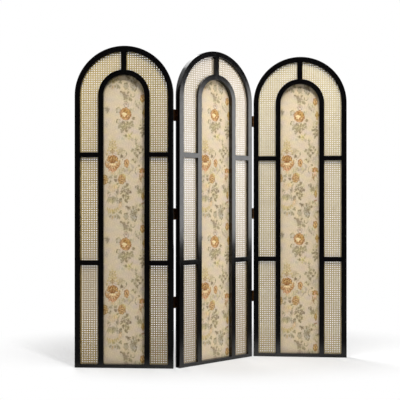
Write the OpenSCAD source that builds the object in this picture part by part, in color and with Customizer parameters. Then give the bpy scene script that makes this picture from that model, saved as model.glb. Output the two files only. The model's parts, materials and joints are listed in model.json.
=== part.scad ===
// Three-panel folding screen. Each panel is a round-topped wooden frame with a smaller
// round-topped frame inside it. Woven cane fills the bays between the two frames, and a
// fabric panel fills the inner frame. Butt hinges on the end faces of the stiles join the
// panels. Their knuckles stand behind the first gap and in front of the second one, so
// the screen folds in a zigzag, and folds up flat.
//
// +Z is up and the fronts of the panels face -Y. The origin is on the floor, under the
// middle of the standing screen. A panel's own frame has its centre line at x = 0, its
// front face at y = 0 and the floor at z = 0.

/* [Panel] */
// Height of a panel at the crown of its arch
panel_h = 1830; // [1500:5:2100]
// Width of a panel
panel_w = 564; // [500:2:640]
// Thickness of a panel
panel_t = 38; // [34:1:44]

/* [Frames] */
// Face width of the outer stiles and the outer arch
outer_face = 31; // [27:1:40]
// Outer width of the inner frame
inner_w = 294; // [250:2:330]
// Face width of the inner stiles and the inner arch
inner_face = 30; // [27:1:40]
// Height of the base rail
base_rail_h = 20; // [19:1:40]
// Height of the rails across the side bays
cross_rail_h = 28; // [25:1:40]
// Centre line of the lower cross rails above the floor
lower_rail_z = 597; // [450:1:700]
// Centre line of the upper cross rails above the floor
upper_rail_z = 1212; // [1000:1:1300]
// Width of the bar between the two arches
crown_bar_w = 30; // [25:1:50]

/* [Infill] */
// Depth of the cane behind the front face
cane_depth = 17; // [14:0.5:18]
// Thickness of the woven cane
cane_t = 1.6; // [1.2:0.1:2.4]
// Depth of the beads that hold the cane
cane_bead_t = 10; // [6:0.5:12]
// Depth of the fabric behind the front face
fabric_depth = 28; // [26.5:0.5:29]
// Thickness of the fabric
fabric_t = 1; // [0.6:0.1:1.5]
// Thickness of the board behind the fabric
board_t = 3; // [2:0.5:4]
// Width of the ledge in front of the cane and the fabric
ledge = 8; // [6:0.5:9]
// Play between a sheet or bead and the edge of its rebate
sheet_play = 0.5; // [0.3:0.1:1]

/* [Joinery] */
// Thickness of the tenons
tenon_t = 8; // [6:0.5:8]
// Length of the tenons
tenon_l = 12; // [8:0.5:14]
// Length of the stub tenons that stand in the base rail
stub_tenon_l = 8; // [5:0.5:9]
// Shoulder at each edge of a tenon
tenon_shoulder = 3; // [2:0.5:4]
// Play around a tenon in its mortise
tenon_play = 0.2; // [0.1:0.05:0.4]

/* [Hinges] */
// Centre of the lowest hinges above the floor
low_hinge_z = 371; // [300:1:440]
// Centre of the middle hinges above the floor
mid_hinge_z = 875; // [700:1:1000]
// Centre of the top hinges above the floor
top_hinge_z = 1438; // [1300:1:1460]
// Length of a hinge
hinge_h = 64; // [56:1:76]
// Gap between two panels' end faces when they stand in line
hinge_gap = 9; // [8.5:0.5:14]
// Distance of the hinge pin's axis from the panel's face
axis_out = 2; // [1.5:0.5:6]
// Width of a leaf on the end face
leaf_w = 22; // [18:1:26]
// Thickness of a leaf
leaf_t = 2; // [1.6:0.1:2.5]
// Diameter of the knuckles
knuckle_d = 8.6; // [7.5:0.1:9]
// End play between two knuckles
knuckle_gap = 0.2; // [0.1:0.05:0.4]
// Diameter of the hinge pin
pin_d = 4; // [3:0.5:5]
// Radial play of the pin in the knuckles
pin_play = 0.05; // [0.02:0.01:0.1]
// Diameter of the pin's riveted heads
pin_head_d = 6.4; // [6:0.2:7.5]
// Height of the pin's riveted heads
pin_head_h = 1.2; // [0.8:0.1:2]
// Diameter of a screw's shank
screw_d = 3.5; // [3:0.1:4]
// Length of a screw
screw_l = 20; // [14:1:24]
// Diameter of a screw's countersunk head
screw_head_d = 6.6; // [6:0.2:7]
// Distance of the end screws from the end of the leaf
screw_inset = 10; // [7:1:14]
// Play around a screw
screw_play = 0.05; // [0.02:0.01:0.1]

/* [Stance] */
// Turn of the left panel, positive with its right edge back
left_angle = -3.2; // [-10:0.1:10]
// Turn of the middle panel
middle_angle = 39.7; // [20:0.1:60]
// Turn of the right panel
right_angle = -4.9; // [-10:0.1:10]

/* [Hidden] */
$fn = 96;
// margin by which a cut runs past the face that it opens
over = 1;

// edges of the two frames on the front face, measured from the centre line
half_w = panel_w / 2;
outer_in = half_w - outer_face;
inner_out = inner_w / 2;
inner_in = inner_out - inner_face;
// the same edges behind the ledges
outer_in_rear = outer_in + ledge;
inner_out_rear = inner_out - ledge;
inner_in_rear = inner_in + ledge;
// both arches are drawn about one centre, at the height where the stiles end
spring_z = panel_h - half_w;
base_rear_h = base_rail_h - ledge;

// a sheet or bead reaches this far over its ledge
grip = ledge - sheet_play;
cane_bead_y = cane_depth + cane_t;
board_y = fabric_depth + fabric_t;
fabric_bead_y = board_y + board_t;
tenon_y = (cane_depth + fabric_depth - tenon_t) / 2;

// hinges, in a frame with the pin's axis on Z and the panel's end face at x = -axis_x
axis_x = hinge_gap / 2;
hinge_zs = [low_hinge_z, mid_hinge_z, top_hinge_z];
knuckle_count = 5;
knuckle_l = (hinge_h - (knuckle_count - 1) * knuckle_gap) / knuckle_count;
screw_y = -axis_out - leaf_w / 2;
screw_zs = [screw_inset - hinge_h / 2, 0, hinge_h / 2 - screw_inset];
screw_tip_l = screw_d;
screw_slot_w = screw_d / 4;
screw_slot_depth = leaf_t * 0.4;

// hinge axes and panel places on the floor, worked out from the left panel onwards
function turned(a, v) = [v.x * cos(a) - v.y * sin(a), v.x * sin(a) + v.y * cos(a)];
back_axis = [half_w + axis_x, panel_t + axis_out];
front_axis = [half_w + axis_x, -axis_out];
function mirrored(v) = [-v.x, v.y];
left_at = [0, 0];
back_hinge_at = left_at + turned(left_angle, back_axis);
middle_at = back_hinge_at - turned(middle_angle, mirrored(back_axis));
front_hinge_at = middle_at + turned(middle_angle, front_axis);
right_at = front_hinge_at - turned(right_angle, mirrored(front_axis));
function corners(at, a) =
    [for (x = [-half_w, half_w], y = [0, panel_t]) at + turned(a, [x, y])];
all_corners = concat(
    corners(left_at, left_angle),
    corners(middle_at, middle_angle),
    corners(right_at, right_angle));
xs = [for (c = all_corners) c.x];
ys = [for (c = all_corners) c.y];
middle_of_box = [(min(xs) + max(xs)) / 2, (min(ys) + max(ys)) / 2];

lacquer = [0.09, 0.08, 0.08];
cane_colour = [0.82, 0.74, 0.60];
cloth_colour = [0.87, 0.80, 0.67];
board_colour = [0.45, 0.34, 0.24];
brass_colour = [0.60, 0.45, 0.25];

// outlines and tenons that several parts share

// extrudes an outline drawn in x and z from depth y0 to depth y1
module slab(y0, y1) {
    translate([0, y1, 0])
        rotate([90, 0, 0])
            linear_extrude(height = y1 - y0)
                children();
}

// box given by its two corners
module block(low, high) {
    translate(low)
        cube(high - low);
}

// outline of the upper half of a ring about the arches' centre
module half_ring(r_out, r_in) {
    translate([0, spring_z])
        intersection() {
            difference() {
                circle(r = r_out);
                circle(r = r_in);
            }
            translate([-2 * r_out, 0])
                square([4 * r_out, 2 * r_out]);
        }
}

// outline with straight sides from z0 up and a round top
module round_top(r, z0) {
    translate([-r, z0])
        square([2 * r, spring_z - z0]);
    translate([0, spring_z])
        intersection() {
            circle(r = r);
            translate([-2 * r, 0])
                square([4 * r, 2 * r]);
        }
}

// outlines of the bays; each edge lies a distance e outside the opening
module upper_bays(e) {
    difference() {
        round_top(outer_in + e, upper_rail_z + cross_rail_h / 2 - e);
        round_top(inner_out - e, lower_rail_z);
        translate([e - crown_bar_w / 2, spring_z])
            square([crown_bar_w - 2 * e, panel_h]);
    }
}

module side_bays(z0, z1, e) {
    for (side = [-1, 1])
        translate([side * (outer_in + inner_out) / 2, (z0 + z1) / 2])
            square([outer_in - inner_out + 2 * e, z1 - z0 + 2 * e], center = true);
}

module middle_bays(e) {
    side_bays(lower_rail_z + cross_rail_h / 2, upper_rail_z - cross_rail_h / 2, e);
}

module lower_bays(e) {
    side_bays(base_rail_h, lower_rail_z - cross_rail_h / 2, e);
}

module fabric_bay(e) {
    round_top(inner_in + e, base_rail_h - e);
}

// upright tenon between x0 and x1 that passes the height z by length l, up or down
module upright_tenon(x0, x1, z, l, up, play = 0) {
    z0 = up ? z - over : z - l - play;
    z1 = up ? z + l + play : z + over;
    block(
        [x0 + tenon_shoulder - play, tenon_y - play, z0],
        [x1 - tenon_shoulder + play, tenon_y + tenon_t + play, z1]);
}

// level tenon of a rail that is h high behind its ledges, passing x by length l
module level_tenon(x, l, z, h, outward, play = 0) {
    x0 = outward ? x - over : x - l - play;
    x1 = outward ? x + l + play : x + over;
    block(
        [x0, tenon_y - play, z - h / 2 + tenon_shoulder - play],
        [x1, tenon_y + tenon_t + play, z + h / 2 - tenon_shoulder + play]);
}

// tenons at both ends of one cross rail on the right-hand side
module cross_rail_tenons(z, play = 0) {
    rear_h = cross_rail_h - 2 * ledge;
    level_tenon(outer_in_rear, tenon_l, z, rear_h, true, play);
    level_tenon(inner_out_rear, tenon_l, z, rear_h, false, play);
}

// tenon at the right-hand end of the base rail
module base_rail_tenon(play = 0) {
    level_tenon(outer_in_rear, tenon_l, base_rear_h / 2, base_rear_h, true, play);
}

// tenons of the right-hand outer stile and inner stile
module outer_stile_tenon(play = 0) {
    upright_tenon(outer_in_rear, half_w, spring_z, tenon_l, true, play);
}

module inner_stile_tenon(play = 0) {
    upright_tenon(inner_in, inner_out_rear, spring_z, tenon_l, true, play);
}

module inner_stile_stub(play = 0) {
    upright_tenon(inner_in, inner_out_rear, base_rear_h, stub_tenon_l, false, play);
}

// tenons at both ends of the crown bar
module crown_bar_tenons(play = 0) {
    rear_half = crown_bar_w / 2 - ledge;
    upright_tenon(-rear_half, rear_half, spring_z + outer_in_rear, tenon_l, true, play);
    upright_tenon(-rear_half, rear_half, spring_z + inner_out_rear, tenon_l, false, play);
}

module both_sides() {
    children();
    mirror([1, 0, 0])
        children();
}

// parts of a hinge are drawn at its centre, with the panel on the -x side

// screws' shape along -x, from the leaf's outer face
module screw_shape(play = 0) {
    head_h = (screw_head_d - screw_d) / 2;
    for (z = screw_zs)
        translate([leaf_t - axis_x, screw_y, z])
            rotate([0, -90, 0]) {
                cylinder(d1 = screw_head_d + 2 * play, d2 = screw_d + 2 * play, h = head_h);
                cylinder(d = screw_d + 2 * play, h = screw_l - screw_tip_l);
                translate([0, 0, screw_l - screw_tip_l])
                    cylinder(d1 = screw_d + 2 * play, d2 = screw_d / 4 + 2 * play, h = screw_tip_l);
            }
}

module hinge_leaf(odd) {
    own = odd ? [0, 2, 4] : [1, 3];
    other = odd ? [1, 3] : [0, 2, 4];
    pitch = knuckle_l + knuckle_gap;
    difference() {
        union() {
            difference() {
                block(
                    [-axis_x, -axis_out - leaf_w, -hinge_h / 2],
                    [leaf_t - axis_x, 0, hinge_h / 2]);
                for (i = other)
                    translate([0, 0, i * pitch - hinge_h / 2 - knuckle_gap])
                        cylinder(d = knuckle_d + 2 * knuckle_gap, h = knuckle_l + 2 * knuckle_gap);
            }
            for (i = own)
                translate([0, 0, i * pitch - hinge_h / 2])
                    cylinder(d = knuckle_d, h = knuckle_l);
        }
        translate([0, 0, -hinge_h / 2 - over])
            cylinder(d = pin_d + 2 * pin_play, h = hinge_h + 2 * over);
        screw_shape(screw_play);
    }
}

// puts its children at the three hinges on a panel's right-hand end face
module at_hinges(behind) {
    axis_at = behind ? back_axis : front_axis;
    for (z = hinge_zs)
        translate([axis_at.x, axis_at.y, z])
            mirror([0, behind ? 0 : 1, 0])
                children();
}

module hinge_leaves(odd, behind) {
    color(brass_colour)
        at_hinges(behind)
            hinge_leaf(odd);
}

module hinge_pins(behind) {
    color(brass_colour)
        at_hinges(behind) {
            translate([0, 0, -hinge_h / 2 - knuckle_gap])
                cylinder(d = pin_d, h = hinge_h + 2 * knuckle_gap);
            for (end = [-1, 1])
                translate([0, 0, end * (hinge_h / 2 + knuckle_gap + pin_head_h / 2)])
                    cylinder(d = pin_head_d, h = pin_head_h, center = true);
        }
}

module hinge_screws(behind) {
    color(brass_colour)
        at_hinges(behind)
            difference() {
                screw_shape();
                for (z = screw_zs)
                    translate([leaf_t - axis_x, screw_y, z])
                        cube([2 * screw_slot_depth, screw_slot_w, screw_head_d + 2 * over], center = true);
            }
}

// wooden parts of a panel

module arch() {
    color(lacquer)
        difference() {
            union() {
                slab(0, cane_depth)
                    half_ring(half_w, outer_in);
                slab(cane_depth, panel_t)
                    half_ring(half_w, outer_in_rear);
            }
            both_sides()
                outer_stile_tenon(tenon_play);
            crown_bar_tenons(tenon_play);
        }
}

// outer stile on one side; hinged is "back", "front" or "no"
module outer_stile(side, hinged = "no") {
    color(lacquer)
        mirror([side < 0 ? 1 : 0, 0, 0]) {
            difference() {
                block([outer_in, 0, 0], [half_w, panel_t, spring_z]);
                block([outer_in - over, cane_depth, -over],
                    [outer_in_rear, panel_t + over, spring_z + over]);
                base_rail_tenon(tenon_play);
                for (z = [lower_rail_z, upper_rail_z])
                    cross_rail_tenons(z, tenon_play);
                if (hinged != "no")
                    at_hinges(hinged == "back")
                        screw_shape(screw_play);
            }
            outer_stile_tenon();
        }
}

module base_rail() {
    color(lacquer) {
        difference() {
            union() {
                slab(0, cane_depth)
                    translate([-outer_in, 0])
                        square([2 * outer_in, base_rail_h]);
                slab(cane_depth, panel_t)
                    translate([-outer_in_rear, 0])
                        square([2 * outer_in_rear, base_rear_h]);
                slab(cane_depth, fabric_depth)
                    translate([-inner_in, 0])
                        square([2 * inner_in, base_rail_h]);
            }
            both_sides()
                inner_stile_stub(tenon_play);
        }
        both_sides()
            base_rail_tenon();
    }
}

module inner_arch() {
    color(lacquer)
        difference() {
            union() {
                slab(0, cane_depth)
                    half_ring(inner_out, inner_in);
                slab(cane_depth, fabric_depth)
                    half_ring(inner_out_rear, inner_in);
                slab(fabric_depth, panel_t)
                    half_ring(inner_out_rear, inner_in_rear);
            }
            both_sides()
                inner_stile_tenon(tenon_play);
            crown_bar_tenons(tenon_play);
        }
}

module inner_stile(side) {
    color(lacquer)
        mirror([side < 0 ? 1 : 0, 0, 0]) {
            difference() {
                union() {
                    block([inner_in, 0, base_rail_h], [inner_out, cane_depth, spring_z]);
                    block([inner_in, cane_depth, base_rear_h],
                        [inner_out_rear, fabric_depth, spring_z]);
                    block([inner_in_rear, fabric_depth, base_rear_h],
                        [inner_out_rear, panel_t, spring_z]);
                }
                for (z = [lower_rail_z, upper_rail_z])
                    cross_rail_tenons(z, tenon_play);
            }
            inner_stile_tenon();
            inner_stile_stub();
        }
}

module crown_bar() {
    color(lacquer) {
        slab(0, cane_depth)
            intersection() {
                half_ring(outer_in, inner_out);
                translate([-crown_bar_w / 2, spring_z])
                    square([crown_bar_w, panel_h]);
            }
        slab(cane_depth, panel_t)
            intersection() {
                half_ring(outer_in_rear, inner_out_rear);
                translate([ledge - crown_bar_w / 2, spring_z])
                    square([crown_bar_w - 2 * ledge, panel_h]);
            }
        crown_bar_tenons();
    }
}

module cross_rails() {
    color(lacquer)
        both_sides()
            for (z = [lower_rail_z, upper_rail_z]) {
                block([inner_out, 0, z - cross_rail_h / 2],
                    [outer_in, cane_depth, z + cross_rail_h / 2]);
                block([inner_out_rear, cane_depth, z - cross_rail_h / 2 + ledge],
                    [outer_in_rear, panel_t, z + cross_rail_h / 2 - ledge]);
                cross_rail_tenons(z);
            }
}

// cane, fabric and what holds them

module cane_upper() {
    color(cane_colour)
        slab(cane_depth, cane_depth + cane_t)
            upper_bays(grip);
}

module cane_middle() {
    color(cane_colour)
        slab(cane_depth, cane_depth + cane_t)
            middle_bays(grip);
}

module cane_lower() {
    color(cane_colour)
        slab(cane_depth, cane_depth + cane_t)
            lower_bays(grip);
}

module cane_beads() {
    color(lacquer)
        slab(cane_bead_y, cane_bead_y + cane_bead_t) {
            difference() {
                upper_bays(grip);
                upper_bays(0);
            }
            difference() {
                middle_bays(grip);
                middle_bays(0);
            }
            difference() {
                lower_bays(grip);
                lower_bays(0);
            }
        }
}

module fabric() {
    color(cloth_colour)
        slab(fabric_depth, board_y)
            fabric_bay(grip);
}

module board() {
    color(board_colour)
        slab(board_y, fabric_bead_y)
            fabric_bay(grip);
}

module fabric_bead() {
    color(lacquer)
        slab(fabric_bead_y, panel_t)
            difference() {
                fabric_bay(grip);
                fabric_bay(0);
            }
}

// the three panels in their places

module placed(at, a) {
    translate([at.x - middle_of_box.x, at.y - middle_of_box.y, 0])
        rotate([0, 0, a])
            children();
}

module on_left() {
    placed(left_at, left_angle)
        children();
}

module on_middle() {
    placed(middle_at, middle_angle)
        children();
}

module on_right() {
    placed(right_at, right_angle)
        children();
}

on_left() arch();  // left_arch
on_left() outer_stile(-1);  // left_stile_l
on_left() outer_stile(1, "back");  // left_stile_r
on_left() base_rail();  // left_base_rail
on_left() inner_arch();  // left_inner_arch
on_left() inner_stile(-1);  // left_inner_stile_l
on_left() inner_stile(1);  // left_inner_stile_r
on_left() crown_bar();  // left_crown_bar
on_left() cross_rails();  // left_cross_rails
on_left() cane_upper();  // left_cane_upper
on_left() cane_middle();  // left_cane_middle
on_left() cane_lower();  // left_cane_lower
on_left() cane_beads();  // left_cane_beads
on_left() fabric();  // left_fabric
on_left() board();  // left_board
on_left() fabric_bead();  // left_fabric_bead

on_middle() arch();  // middle_arch
on_middle() outer_stile(-1, "back");  // middle_stile_l
on_middle() outer_stile(1, "front");  // middle_stile_r
on_middle() base_rail();  // middle_base_rail
on_middle() inner_arch();  // middle_inner_arch
on_middle() inner_stile(-1);  // middle_inner_stile_l
on_middle() inner_stile(1);  // middle_inner_stile_r
on_middle() crown_bar();  // middle_crown_bar
on_middle() cross_rails();  // middle_cross_rails
on_middle() cane_upper();  // middle_cane_upper
on_middle() cane_middle();  // middle_cane_middle
on_middle() cane_lower();  // middle_cane_lower
on_middle() cane_beads();  // middle_cane_beads
on_middle() fabric();  // middle_fabric
on_middle() board();  // middle_board
on_middle() fabric_bead();  // middle_fabric_bead

on_right() arch();  // right_arch
on_right() outer_stile(-1, "front");  // right_stile_l
on_right() outer_stile(1);  // right_stile_r
on_right() base_rail();  // right_base_rail
on_right() inner_arch();  // right_inner_arch
on_right() inner_stile(-1);  // right_inner_stile_l
on_right() inner_stile(1);  // right_inner_stile_r
on_right() crown_bar();  // right_crown_bar
on_right() cross_rails();  // right_cross_rails
on_right() cane_upper();  // right_cane_upper
on_right() cane_middle();  // right_cane_middle
on_right() cane_lower();  // right_cane_lower
on_right() cane_beads();  // right_cane_beads
on_right() fabric();  // right_fabric
on_right() board();  // right_board
on_right() fabric_bead();  // right_fabric_bead

on_left() hinge_leaves(true, true);  // back_hinge_leaves_left
on_middle() mirror([1, 0, 0]) hinge_leaves(false, true);  // back_hinge_leaves_middle
on_left() hinge_pins(true);  // back_hinge_pins
on_left() hinge_screws(true);  // back_hinge_screws_left
on_middle() mirror([1, 0, 0]) hinge_screws(true);  // back_hinge_screws_middle
on_middle() hinge_leaves(true, false);  // front_hinge_leaves_middle
on_right() mirror([1, 0, 0]) hinge_leaves(false, false);  // front_hinge_leaves_right
on_middle() hinge_pins(false);  // front_hinge_pins
on_middle() hinge_screws(false);  // front_hinge_screws_middle
on_right() mirror([1, 0, 0]) hinge_screws(false);  // front_hinge_screws_right
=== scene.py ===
import json
from math import acos, ceil, cos, floor, hypot, pi, radians, sin, sqrt

import bmesh
import bpy
import numpy as np
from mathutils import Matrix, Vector
from mathutils.geometry import tessellate_polygon


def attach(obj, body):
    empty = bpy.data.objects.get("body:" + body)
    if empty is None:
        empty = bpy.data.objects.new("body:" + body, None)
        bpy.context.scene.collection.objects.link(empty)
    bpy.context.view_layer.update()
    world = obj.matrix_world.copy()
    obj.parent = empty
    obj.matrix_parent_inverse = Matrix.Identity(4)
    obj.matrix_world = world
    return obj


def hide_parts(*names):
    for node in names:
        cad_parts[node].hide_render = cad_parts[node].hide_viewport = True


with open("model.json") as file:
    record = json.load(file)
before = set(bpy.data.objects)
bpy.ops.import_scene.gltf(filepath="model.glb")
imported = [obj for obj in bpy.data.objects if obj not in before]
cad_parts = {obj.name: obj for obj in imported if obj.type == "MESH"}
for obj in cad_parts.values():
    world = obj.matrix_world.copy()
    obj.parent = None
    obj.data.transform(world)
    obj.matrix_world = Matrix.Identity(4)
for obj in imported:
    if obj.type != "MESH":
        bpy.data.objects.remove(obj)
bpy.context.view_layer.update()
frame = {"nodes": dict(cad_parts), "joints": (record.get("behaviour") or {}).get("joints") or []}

# Sizes of a panel in mm, as in the CAD source. A panel's own frame has x = 0 on its centre
# line, y = 0 on its front face and z = 0 on the floor.
HALF_W = 282.0
PANEL_T = 38.0
SPRING_Z = 1548.0
OUTER_IN = 251.0
INNER_OUT = 147.0
INNER_IN = 117.0
BASE_RAIL_H = 20.0
CROSS_RAIL_HALF = 14.0
LOWER_RAIL_Z = 597.0
UPPER_RAIL_Z = 1212.0
CROWN_HALF = 15.0
# lowest and highest z of the plain cane bays
BAY_Z = {"middle": (LOWER_RAIL_Z + CROSS_RAIL_HALF, UPPER_RAIL_Z - CROSS_RAIL_HALF),
         "lower": (BASE_RAIL_H, LOWER_RAIL_Z - CROSS_RAIL_HALF)}
CANE_DEPTH = 17.0
CANE_T = 1.6
FABRIC_DEPTH = 28.0
LEDGE = 8.0
AXIS_X = 4.5
BACK_AXIS = (HALF_W + AXIS_X, PANEL_T + 2.0)
FRONT_AXIS = (HALF_W + AXIS_X, -2.0)
ANGLES = {"left": -3.2, "middle": 39.7, "right": -4.9}
PANELS = ("left", "middle", "right")


def way(angle):
    return cos(radians(angle)), sin(radians(angle))


def turned(angle, x, y):
    c, s = way(angle)
    return np.array([x * c - y * s, x * s + y * c])


hinge_at = {j["name"]: np.array(j["pos_m"][:2]) * 1000 for j in frame["joints"]}
PLACES = {
    "left": hinge_at["back_fold"] - turned(ANGLES["left"], *BACK_AXIS),
    "middle": hinge_at["back_fold"] - turned(ANGLES["middle"], -BACK_AXIS[0], BACK_AXIS[1]),
    "right": hinge_at["front_fold"] - turned(ANGLES["right"], -FRONT_AXIS[0], FRONT_AXIS[1]),
}


def new_piece(name, panel, verts, polys, material, replaced, normals=None, crease=None):
    """A mesh from a panel's own frame, in mm, put in its place and on its body.

    polys is a list of arrays, each of shape (faces, corners)."""
    verts = np.asarray(verts, float)
    c, s = way(ANGLES[panel])
    turn = np.array([[c, s, 0], [-s, c, 0], [0, 0, 1]])
    at = np.array([*PLACES[panel], 0.0])
    mesh = bpy.data.meshes.new(name)
    mesh.vertices.add(len(verts))
    mesh.vertices.foreach_set("co", ((verts @ turn + at) / 1000).astype(np.float32).ravel())
    corners = np.concatenate([np.asarray(p).ravel() for p in polys]).astype(np.int32)
    counts = np.concatenate([np.full(len(p), np.asarray(p).shape[1]) for p in polys])
    mesh.loops.add(len(corners))
    mesh.loops.foreach_set("vertex_index", corners)
    mesh.polygons.add(len(counts))
    starts = np.concatenate([[0], np.cumsum(counts)[:-1]]).astype(np.int32)
    mesh.polygons.foreach_set("loop_start", starts)
    mesh.update(calc_edges=True)
    mesh.polygons.foreach_set("use_smooth", np.ones(len(counts), bool))
    mesh.validate()
    if crease is not None:
        ends = np.empty(2 * len(mesh.edges), np.int32)
        mesh.edges.foreach_get("vertices", ends)
        sharp = mesh.attributes.new("sharp_edge", "BOOLEAN", "EDGE")
        sharp.data.foreach_set("value", crease(*ends.reshape(-1, 2).T))
    if normals is not None:
        mesh.normals_split_custom_set((np.asarray(normals) @ turn).tolist())
    mesh.materials.append(material)
    piece = bpy.data.objects.new(name, mesh)
    bpy.context.scene.collection.objects.link(piece)
    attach(piece, panel + "_panel")
    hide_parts(*[f"{panel}_{n}" for n in replaced])
    return piece


def set_attribute(piece, name, values):
    """Values of the vertices: rows of three numbers are vectors, and rows of four are colours."""
    kind, field = {3: ("FLOAT_VECTOR", "vector"), 4: ("FLOAT_COLOR", "color")}[values.shape[1]]
    attribute = piece.data.attributes.new(name, kind, "POINT")
    attribute.data.foreach_set(field, values.astype(np.float32).ravel())


# A loop is a list of runs, and a run is (points, normals) in x and z. The runs follow the
# edge of an opening, or of the whole panel, at the distance e outside the opening's edge.
ARC_STEP = radians(2.0)


def line_run(a, b):
    a, b = np.array(a, float), np.array(b, float)
    d = (b - a) / np.linalg.norm(b - a)
    return np.array([a, b]), np.array([[d[1], -d[0]]] * 2)


def arc_run(r, a0, a1, count, sign):
    t = np.linspace(a0, a1, count)
    ring = np.stack([np.cos(t), np.sin(t)], 1)
    return ring * r + [0, SPRING_Z], ring * sign


def steps(angle):
    return max(2, int(abs(angle) / ARC_STEP)) + 1


def rectangle(x0, x1, z0, z1, e):
    p = [(x1 + e, z0 - e), (x1 + e, z1 + e), (x0 - e, z1 + e), (x0 - e, z0 - e)]
    return [line_run(p[i], p[(i + 1) % 4]) for i in range(4)]


def round_top(half, z0, e):
    r = half + e
    return [
        line_run((r, z0 - e), (r, SPRING_Z)),
        arc_run(r, 0, pi, steps(pi), 1),
        line_run((-r, SPRING_Z), (-r, z0 - e)),
        line_run((-r, z0 - e), (r, z0 - e)),
    ]


def upper_bay(e):
    r_out, r_in, edge = OUTER_IN + e, INNER_OUT - e, CROWN_HALF - e
    z0 = UPPER_RAIL_Z + CROSS_RAIL_HALF - e
    a_out, a_in = acos(edge / r_out), acos(edge / r_in)
    top, low = SPRING_Z + r_out * sin(a_out), SPRING_Z + r_in * sin(a_in)
    return [
        line_run((r_out, z0), (r_out, SPRING_Z)),
        arc_run(r_out, 0, a_out, steps(pi / 2), 1),
        line_run((edge, top), (edge, low)),
        arc_run(r_in, a_in, 0, steps(pi / 2), -1),
        line_run((r_in, SPRING_Z), (r_in, z0)),
        line_run((r_in, z0), (r_out, z0)),
    ]


def mirrored(loop):
    flip = np.array([-1, 1])
    return [(points[::-1] * flip, normals[::-1] * flip) for points, normals in loop[::-1]]


def side_loops(e):
    """The outlines of the six cane bays."""
    right = [upper_bay(e)] + [rectangle(INNER_OUT, OUTER_IN, *BAY_Z[kind], e) for kind in BAY_Z]
    return right + [mirrored(loop) for loop in right]


EDGE_R = 1.3
EDGE_STEPS = 4


def rounded(e, y, turn_e, turn_y, first):
    """Points of a rounded edge as (e, y, normal in e, normal in y)."""
    out = []
    for i in range(EDGE_STEPS + 1):
        t = pi / 2 * i / EDGE_STEPS
        c, s = (cos(t), sin(t)) if first == "y" else (sin(t), cos(t))
        out.append((e + turn_e * EDGE_R * (1 - s), y + turn_y * EDGE_R * (1 - c), -turn_e * s, -turn_y * c))
    return out


def opening_profile(depth):
    """From the front face round the opening's edge to the back face.

    e grows into the wood, and a normal in e points into the opening when it is negative."""
    ledge = [(0, depth, -1, 0), (0, depth, 0, 1), (LEDGE, depth, 0, 1), (LEDGE, depth, -1, 0)]
    return rounded(0, 0, 1, 1, "y") + ledge + rounded(LEDGE, PANEL_T, 1, -1, "e")


def outer_profile():
    return rounded(0, 0, -1, 1, "y") + rounded(0, PANEL_T, -1, -1, "e")


def frame_mesh():
    """Front face, back face and the walls between them, of one panel's joined frame."""
    verts, quads, normals = [], [], []
    tris, tri_normals = [], []
    front, back = [], []
    loops = [(lambda e: round_top(HALF_W, 0, e), outer_profile(), True),
             (lambda e: round_top(INNER_IN, BASE_RAIL_H, e), opening_profile(FABRIC_DEPTH), False)]
    for i in range(6):
        loops.append((lambda e, i=i: side_loops(e)[i], opening_profile(CANE_DEPTH), False))
    for make, profile, outside in loops:
        rows, row_of = [], []
        last = None
        for e, y, ne, ny in profile:
            place = (round(e, 6), round(y, 6))
            if place != last:
                ring = [(p[0], y, p[1]) for points, _ in make(e) for p in points[:-1]]
                rows.append(range(len(verts), len(verts) + len(ring)))
                verts += ring
                last = place
            row_of.append((rows[-1], ne, ny))
        front.append(rows[0])
        back.append(rows[-1])
        sides = [side for _, n in make(0.0) for side in zip(n[:-1], n[1:])]
        for (r0, ne0, ny0), (r1, ne1, ny1) in zip(row_of[:-1], row_of[1:]):
            if r0 == r1:
                continue
            for k, (n0, n1) in enumerate(sides):
                b = (k + 1) % len(sides)
                quad = [r0[k], r0[b], r1[b], r1[k]]
                corners = ((n0, ne0, ny0), (n1, ne0, ny0), (n1, ne1, ny1), (n0, ne1, ny1))
                vec = [(n[0] * ne, ny, n[1] * ne) for n, ne, ny in corners]
                if outside:
                    quad, vec = quad[::-1], vec[::-1]
                quads.append(quad)
                normals += vec
    for face, ny in ((front, -1.0), (back, 1.0)):
        rings = [[Vector((verts[i][0], verts[i][2], 0)) for i in ring] for ring in face]
        flat = [i for ring in face for i in ring]
        for tri in tessellate_polygon(rings):
            ids = [flat[i] for i in tri]
            a, b, c = (np.array(verts[i])[[0, 2]] for i in ids)
            turn = (b[0] - a[0]) * (c[1] - a[1]) - (b[1] - a[1]) * (c[0] - a[0])
            if (turn < 0) == (ny < 0):
                ids = ids[::-1]
            tris.append(ids)
            tri_normals += [(0.0, ny, 0.0)] * 3
    return np.array(verts), [np.array(quads), np.array(tris)], normals + tri_normals


# The weave, in mm: pairs of uprights and of cross strands, and two diagonals, over and under
# one another. PAIR is half the distance in a pair, and the RISEs are how far strands and
# diagonals leave the middle. SECTION has a strand's corners: across, in half widths, and out,
# in thicknesses. The ends run on for GRIP under the ledge. Strands are looked for in WOVEN_Z,
# WOVEN_COLUMNS and LEANING_ROWS beyond them, which cover more than a bay.
PITCH_X, PITCH_Z = 13.5, 12.7
PAIR = 1.62
STRAND_W = 3.1
STRAND_T = 0.45
SECTION = ((-1, -0.1), (0, -0.5), (1, -0.1))
RISE = 0.3
CROSS_RISE = 0.56
NEAR = 0.12
GRIP = 6.5
LATTICE_X = (OUTER_IN + INNER_OUT) / 2 + PITCH_X / 2
LATTICE_Z = BASE_RAIL_H + 5.0
WOVEN_Z = {"upper": (1200, 1830), "middle": (600, 1220), "lower": (0, 600)}
WOVEN_COLUMNS = range(-21, 22)
LEANING_ROWS = 22
LINE_REACH = 2600.0
SHORTEST_RUN = 3.0
END_GAP = 0.4
BISECTIONS = 12


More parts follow.
